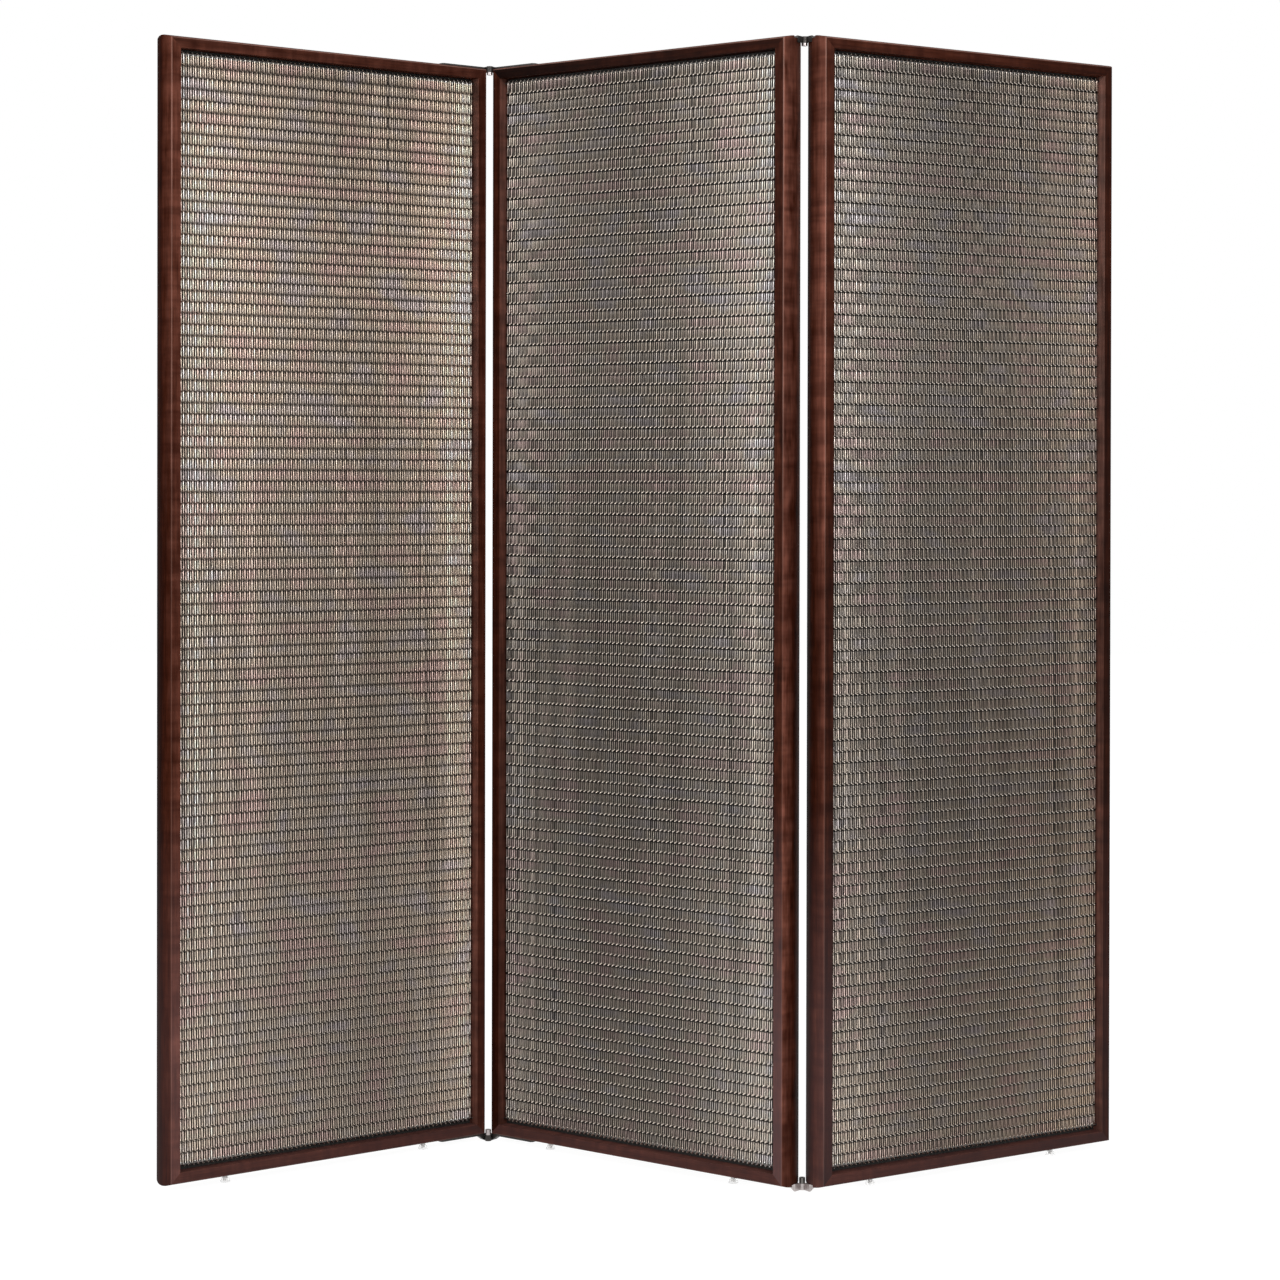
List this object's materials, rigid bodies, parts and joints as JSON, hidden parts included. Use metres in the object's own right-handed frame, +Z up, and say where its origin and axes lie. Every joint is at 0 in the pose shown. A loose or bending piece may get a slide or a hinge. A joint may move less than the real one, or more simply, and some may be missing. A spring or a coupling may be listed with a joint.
{
  "type": "room divider",
  "caption": "Folding three-leaf room divider: mitred walnut frames with convex edges, linked wire-coil mesh on both faces of a thin dark board, top and bottom hinges.",
  "frame": {"origin": "on the floor, below the middle of the box round the half-folded divider", "axes": "+Z up; +X across the divider from the left to the right panel; +Y from the front to the back, away from the viewer"},
  "size_m": [1.5506, 0.4054, 1.8205],
  "materials": {
    "frame_wood": "dark walnut, satin lacquer",
    "tenon_wood": "raw",
    "board": "matt black stain",
    "mesh_metal": "satin anodised, champagne",
    "rod_steel": "zinc plated",
    "hinge_steel": "satin nickel",
    "hinge_dark": "dark bronze lacquer",
    "nylon": "matt"
  },
  "bodies": {
    "centre_panel": {"centre_left_stile": "frame_wood", "centre_right_stile": "frame_wood", "centre_top_rail": "frame_wood", "centre_bottom_rail": "frame_wood", "centre_corner_tenons": "tenon_wood", "centre_core_board": "board", "centre_end_rods": "rod_steel", "centre_front_mesh_rows": "mesh_metal", "centre_front_mesh_rods": "mesh_metal", "centre_back_mesh_rows": "mesh_metal", "centre_back_mesh_rods": "mesh_metal", "centre_hinge_screws": "hinge_steel", "centre_glides": "nylon", "centre_glide_studs": "rod_steel", "left_top_hinge_centre_leaf": "hinge_dark", "left_top_hinge_pin": "hinge_dark", "left_bottom_hinge_centre_leaf": "hinge_steel", "left_bottom_hinge_pin": "hinge_steel", "right_top_hinge_centre_leaf": "hinge_dark", "right_top_hinge_pin": "hinge_dark", "right_bottom_hinge_centre_leaf": "hinge_steel", "right_bottom_hinge_pin": "hinge_steel"},
    "left_panel": {"left_outer_stile": "frame_wood", "left_hinge_stile": "frame_wood", "left_top_rail": "frame_wood", "left_bottom_rail": "frame_wood", "left_corner_tenons": "tenon_wood", "left_core_board": "board", "left_end_rods": "rod_steel", "left_front_mesh_rows": "mesh_metal", "left_front_mesh_rods": "mesh_metal", "left_back_mesh_rows": "mesh_metal", "left_back_mesh_rods": "mesh_metal", "left_hinge_screws": "hinge_steel", "left_glides": "nylon", "left_glide_studs": "rod_steel", "left_top_hinge_side_leaf": "hinge_dark", "left_bottom_hinge_side_leaf": "hinge_steel"},
    "right_panel": {"right_hinge_stile": "frame_wood", "right_outer_stile": "frame_wood", "right_top_rail": "frame_wood", "right_bottom_rail": "frame_wood", "right_corner_tenons": "tenon_wood", "right_core_board": "board", "right_end_rods": "rod_steel", "right_front_mesh_rows": "mesh_metal", "right_front_mesh_rods": "mesh_metal", "right_back_mesh_rows": "mesh_metal", "right_back_mesh_rods": "mesh_metal", "right_hinge_screws": "hinge_steel", "right_glides": "nylon", "right_glide_studs": "rod_steel", "right_top_hinge_side_leaf": "hinge_dark", "right_bottom_hinge_side_leaf": "hinge_steel"}
  },
  "joints": [
    {"name": "fold_left", "type": "hinge", "parent": "centre_panel", "child": "left_panel", "pos_m": [-0.26954, 0.16792, 0.9], "axis": [0, 0, 1], "range_deg": [-75.5, 104.5]},
    {"name": "fold_right", "type": "hinge", "parent": "centre_panel", "child": "right_panel", "pos_m": [0.24484, -0.16376, 0.9], "axis": [0, 0, 1], "range_deg": [-71, 109]}
  ]
}
